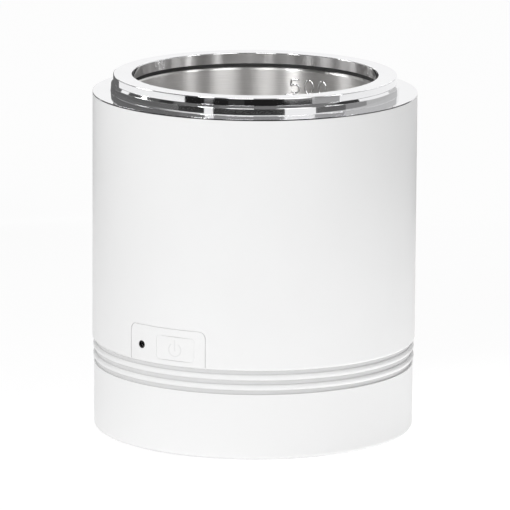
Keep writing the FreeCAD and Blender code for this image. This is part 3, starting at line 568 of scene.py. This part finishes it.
def trim_ring():
    """The chromed two-step ring, with its edges softened as plated edges are."""
    fine = 0.12 * MM
    undercut = 0.1 * MM
    lean = 0.025 * MM
    ring = lathe("trim_ring_plated", [
        (TRIM_BORE, SHELL_TOP, 0),
        (BODY_RADIUS - lean - undercut, SHELL_TOP, 0),
        (BODY_RADIUS - lean, SHELL_TOP + undercut, 0),
        (BODY_RADIUS, FLANGE_TOP, fine / 2),
        (TIER_RADIUS, FLANGE_TOP, fine / 2),
        (TIER_RADIUS - TIER_DRAFT, TIER_TOP - TIER_BEVEL, 2 * fine),
        (COLLAR_RADIUS, TIER_TOP, fine),
        (GASKET_OUTER, TIER_TOP, 0),
        (GASKET_OUTER, GASKET_SEAT, 0),
        (GASKET_INNER, GASKET_SEAT, 0),
        (GASKET_INNER, TIER_TOP, 0),
        (TRIM_BORE, TIER_TOP, fine),
    ])
    dress(ring, "housing", "chrome", CHROME, "trim_ring")


def pot_collar():
    """The polished ring round the pot's mouth."""
    fine = 0.12 * MM
    edge = 0.3 * MM
    lip = 0.5 * MM
    lip_bottom = TIER_TOP + 0.05 * MM
    crimp_top = LIP_TOP - 0.9 * MM
    crimp_bore = MOUTH_RADIUS + 0.8 * MM
    ring = lathe("pot_collar_polished", [
        (MOUTH_RADIUS, BAND_BOTTOM, fine),
        (SKIRT_INNER, BAND_BOTTOM, 0),
        (SKIRT_INNER, crimp_top, 0),
        (crimp_bore, crimp_top, fine),
        (crimp_bore, COLLAR_FOOT, fine),
        (SKIRT_OUTER, COLLAR_FOOT, fine),
        (SKIRT_OUTER, COLLAR_BOTTOM, 0),
        (COLLAR_RADIUS - lip, COLLAR_BOTTOM, 0),
        (COLLAR_RADIUS - lip, lip_bottom, 0),
        (COLLAR_RADIUS, lip_bottom, fine / 2),
        (COLLAR_RADIUS, RIM_TOP, edge),
        (MOUTH_RADIUS, RIM_TOP, edge),
    ])
    dress(ring, "pot", "chrome", CHROME, "pot_collar")


def power_symbol():
    """A broken ring and a bar, printed on the button's curved face."""
    radius = 2.7 * MM
    ring_start = 125
    ring_end = 415
    bar_bottom = -0.6 * MM
    bar_top = 4.0 * MM
    stroke = 0.65 * MM
    below_middle = 0.4 * MM
    relief = 0.04 * MM
    sunk_share = 0.5

    def on_button(across, up, height):
        x = BUTTON_MIDDLE.x + across
        front = wall_front(x, BODY_RADIUS + (height - sunk_share) * relief)
        return Vector((x, front, BUTTON_MIDDLE.z - below_middle + up))

    ring = arc((0, 0), radius, radius, ring_start, ring_end)
    bar = line((0, bar_bottom), (0, bar_top))
    symbol = ribbon("power_symbol", [(ring, False), (bar, False)], stroke, on_button)
    dress(symbol, "button", "white_plastic", SYMBOL_GREY)


def slit_filler(name, inner, outer, sunk, body, closed=True):
    """A soft white strip that closes a slit in the wall, a little below its round face."""
    depth = 1.2 * MM
    strip = wall_strip(name, ((inner, sunk), (outer, sunk), (outer, depth), (inner, depth)), closed)
    dress(strip, body, "white_plastic", WHITE_PLASTIC)


def button_skirt():
    """The skirt round the power button."""
    slit = 0.17 * MM
    sunk = 0.07 * MM
    loops = []
    for grow in (0, slit):
        radius = BUTTON_CORNER + grow
        reach_x = BUTTON_WIDTH / 2 + grow - radius
        reach_z = BUTTON_HEIGHT / 2 + grow - radius
        loop = []
        for side_x, side_z, start in ((1, 1, 0), (-1, 1, 90), (-1, -1, 180), (1, -1, 270)):
            middle = (BUTTON_MIDDLE.x + side_x * reach_x, BUTTON_MIDDLE.z + side_z * reach_z)
            loop += quarter_arc(middle, radius, start)
        loops.append(loop)
    slit_filler("button_skirt", *loops, sunk, "button")


def panel_gasket():
    """The strip in the slit round the control panel, open at the seam."""
    gap = 0.01 * MM
    slit = 0.27 * MM
    sunk = 0.4 * MM
    side_steps = 20
    top_steps = 40
    loops = []
    for grow in (gap, slit):
        radius = PANEL_CORNER + grow
        side = PANEL_HALF + grow
        top = PANEL_TOP + grow
        turn = side - radius
        loop = line((side, PANEL_BOTTOM), (side, top - radius), side_steps)[:-1]
        loop += quarter_arc((turn, top - radius), radius, 0)
        loop += line((turn, top), (-turn, top), top_steps)[1:-1]
        loop += quarter_arc((-turn, top - radius), radius, 90)
        loop += line((-side, top - radius), (-side, PANEL_BOTTOM), side_steps)[1:]
        loops.append(loop)
    slit_filler("panel_gasket", *loops, sunk, "housing", closed=False)


def lamp_sleeve():
    """The black tube the lamp sits in, set into its hole in the panel."""
    low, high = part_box("indicator_led")
    middle = (low + high) / 2
    outer_radius = 1.58 * MM
    inner_radius = 1.3 * MM
    front = 0.12 * MM
    back = front + 1.3 * MM
    steps = 48
    outer = ellipse((middle.x, middle.z), outer_radius, outer_radius, steps)
    inner = ellipse((middle.x, middle.z), inner_radius, inner_radius, steps)
    sleeve = wall_strip("lamp_sleeve", ((outer, front), (inner, front), (inner, back), (outer, back)))
    dress(sleeve, "housing", "black_plastic", MATERIALS["black_plastic"])


def fill_mark():
    """A level line and the plain number of millilitres, raised on the pot's wall opposite the panel."""
    digit_width = 3.6 * MM
    digit_height = 5.6 * MM
    digit_pitch = 6.2 * MM
    mark_top = RIM_TOP - 10.5 * MM
    mark_angle = math.radians(186)
    relief = 0.3 * MM
    stroke = 0.8 * MM
    half_width = digit_width / 2
    half_height = digit_height / 2
    bowl = 0.32 * digit_height
    bowl_start = 140
    bowl_end = -150
    stem_top = (-0.8 * half_width, digit_height)
    stem_bottom = (-half_width, 2 * bowl - 0.3 * MM)
    level = -0.9 * MM
    level_half = 1.7 * digit_pitch
    level_steps = 40

    def on_wall(across, up, height):
        direction = heading(mark_angle - across / MOUTH_RADIUS)
        return direction * (MOUTH_RADIUS - height * relief) + Vector((0, 0, mark_top - digit_height + up))

    five = line((half_width, digit_height), stem_top)
    five += line(stem_top, stem_bottom)[1:]
    five += arc((0, bowl), half_width, bowl, bowl_start, bowl_end)
    paths = [([point - Vector((digit_pitch, 0)) for point in five], False)]
    for place in (0, digit_pitch):
        paths.append((ellipse((place, half_height), half_width, half_height), True))
    paths.append((line((-level_half, level), (level_half, level), level_steps), False))
    mark = ribbon("fill_mark", paths, stroke, on_wall)
    dress(mark, "pot", "stainless_steel", CHROME)


# Stage

def any_ray(nodes, links, *kinds):
    """1 for rays of any of the named kinds."""
    path = nodes.new("ShaderNodeLightPath")
    found = path.outputs[kinds[0]]
    for kind in kinds[1:]:
        found = calculate(nodes, links, "MAXIMUM", found, path.outputs[kind])
    return found


def world_light():
    """White to the eye and in reflections, a softer white as light."""
    soft_strength = 0.46
    world = bpy.data.worlds.new("studio")
    bpy.context.scene.world = world
    world.use_nodes = True
    nodes, links = world.node_tree.nodes, world.node_tree.links
    seen = nodes["Background"]
    set_sockets(seen, Color=WHITE)
    light = nodes.new("ShaderNodeBackground")
    set_sockets(light, Color=WHITE, Strength=soft_strength)
    eye = any_ray(nodes, links, "Is Camera Ray", "Is Glossy Ray", "Is Transmission Ray")
    both = mixed(nodes, links, eye, light.outputs[0], seen.outputs[0])
    links.new(both, nodes["World Output"].inputs["Surface"])


def clear_from_below(nodes, links, shader):
    """The shader on a face's upper side and nothing on its underside."""
    side = nodes.new("ShaderNodeNewGeometry")
    clear = nodes.new("ShaderNodeBsdfTransparent")
    return mixed(nodes, links, side.outputs["Backfacing"], shader, clear.outputs[0])


def lit_patch(nodes, links, bearing, reach, radius, strength):
    """The strength of a lit patch of the tabletop that fades out all round."""
    fade = nodes.new("ShaderNodeTexGradient")
    fade.gradient_type = "QUADRATIC_SPHERE"
    scale = (1 / radius, 1 / radius, 1)
    location = toward(bearing, 0) * (-reach / radius)
    links.new(texture_place(nodes, links, scale, location), fade.inputs["Vector"])
    return calculate(nodes, links, "MULTIPLY", fade.outputs["Fac"], strength)


def floor_glow(nodes, links):
    """A wide lit patch in front and a small one close to the right, as on a bright tabletop."""
    wide = lit_patch(nodes, links, bearing=42, reach=0.36, radius=0.6, strength=1.36)
    small = lit_patch(nodes, links, bearing=75, reach=0.18, radius=0.22, strength=1.75)
    return calculate(nodes, links, "ADD", wide, small)


def floor():
    """A pale floor that keeps a soft shadow, is lifted to white for the eye and clear from below."""
    radius = 12
    drop = 0.2 * MM
    pale = (0.92, 0.92, 0.92, 1)
    lift_share = 0.8
    lift_strength = 1.1
    bpy.ops.mesh.primitive_circle_add(vertices=96, radius=radius, fill_type="NGON")
    plane = bpy.context.object
    plane.name = "studio_floor"
    plane.location.z = -drop
    material, nodes, links, shader = new_material("studio_floor")
    set_sockets(shader, Base_Color=pale, Roughness=0.9, Emission_Color=WHITE)
    links.new(floor_glow(nodes, links), shader.inputs["Emission Strength"])
    material.cycles.emission_sampling = "NONE"
    lift = nodes.new("ShaderNodeEmission")
    set_sockets(lift, Strength=lift_strength)
    eye = any_ray(nodes, links, "Is Camera Ray", "Is Glossy Ray")
    share = calculate(nodes, links, "MULTIPLY", eye, lift_share)
    lifted = mixed(nodes, links, share, shader.outputs[0], lift.outputs[0])
    links.new(clear_from_below(nodes, links, lifted), nodes["Material Output"].inputs["Surface"])
    paint(plane, material)


def reflection_card(name, bearings, elevations, strength, shades=False, mirrored=True):
    """A glowing patch of a dome round the rim. Mirrors see it if mirrored, and plastic does if it shades."""
    middle = Vector((0, 0, RIM_TOP))
    start, end = bearings

    def build(shape):
        rows = []
        for elevation in elevations:
            row = []
            for step in range(CARD_STEPS + 1):
                bearing = start + (end - start) * step / CARD_STEPS
                row.append(shape.verts.new(middle + toward(bearing, elevation) * CARD_DISTANCE))
            rows.append(row)
        skin(shape, rows, rows_close=False, points_close=False)

    card = mesh_object(name, build)
    material, nodes, links, _ = new_material(name)
    glow = nodes.new("ShaderNodeEmission")
    set_sockets(glow, Strength=strength)
    links.new(glow.outputs[0], nodes["Material Output"].inputs["Surface"])
    paint(card, material)
    card.visible_camera = False
    card.visible_diffuse = shades
    card.visible_glossy = mirrored
    card.visible_shadow = False
    card.visible_transmission = False


def aim_at_body(holder, bearing, elevation, distance, roll=0):
    """Stand a lamp or a camera off the body's middle and turn it to look there."""
    back = toward(bearing, elevation)
    holder.location = Vector((0, 0, AIM_HEIGHT)) + back * distance
    holder.rotation_mode = "QUATERNION"
    holder.rotation_quaternion = (-back).to_track_quat("-Z", "Y") @ Quaternion((0, 0, 1), math.radians(roll))


def area_light(name, bearing, elevation, distance, size, power):
    """A soft square lamp that neither the eye nor a mirror sees."""
    lamp = bpy.data.lights.new(name, "AREA")
    lamp.shape = "SQUARE"
    lamp.size = size
    lamp.energy = power
    holder = add_object(name, lamp)
    aim_at_body(holder, bearing, elevation, distance)
    holder.visible_camera = False
    holder.visible_glossy = False


def camera():
    lens = bpy.data.cameras.new("photo_camera")
    lens.sensor_width = SENSOR_WIDTH
    lens.lens = FOCAL_PIXELS / PHOTO_WIDTH * SENSOR_WIDTH
    lens.shift_x = CAMERA_PAN_PIXELS / PHOTO_WIDTH
    lens.clip_end = CAMERA_REACH
    holder = add_object("photo_camera", lens)
    aim_at_body(holder, 0, CAMERA_ELEVATION, CAMERA_DISTANCE, CAMERA_ROLL)
    bpy.context.scene.camera = holder


paint_cad_nodes()
trim_ring()
pot_collar()
power_symbol()
button_skirt()
panel_gasket()
lamp_sleeve()
fill_mark()
world_light()
floor()
for name, bearings, elevations, strength in CARDS:
    reflection_card(name, bearings, elevations, strength)
reflection_card("left_flag", bearings=(-168, -138), elevations=(-17, 12), strength=0.15, shades=True)
reflection_card("right_flag", bearings=(88, 128), elevations=(0, 50), strength=0.02, shades=True,
                mirrored=False)
area_light("key_light", bearing=-40, elevation=19, distance=2.0, size=1.2, power=17.6)
camera()
bpy.context.scene.view_settings.view_transform = "Standard"
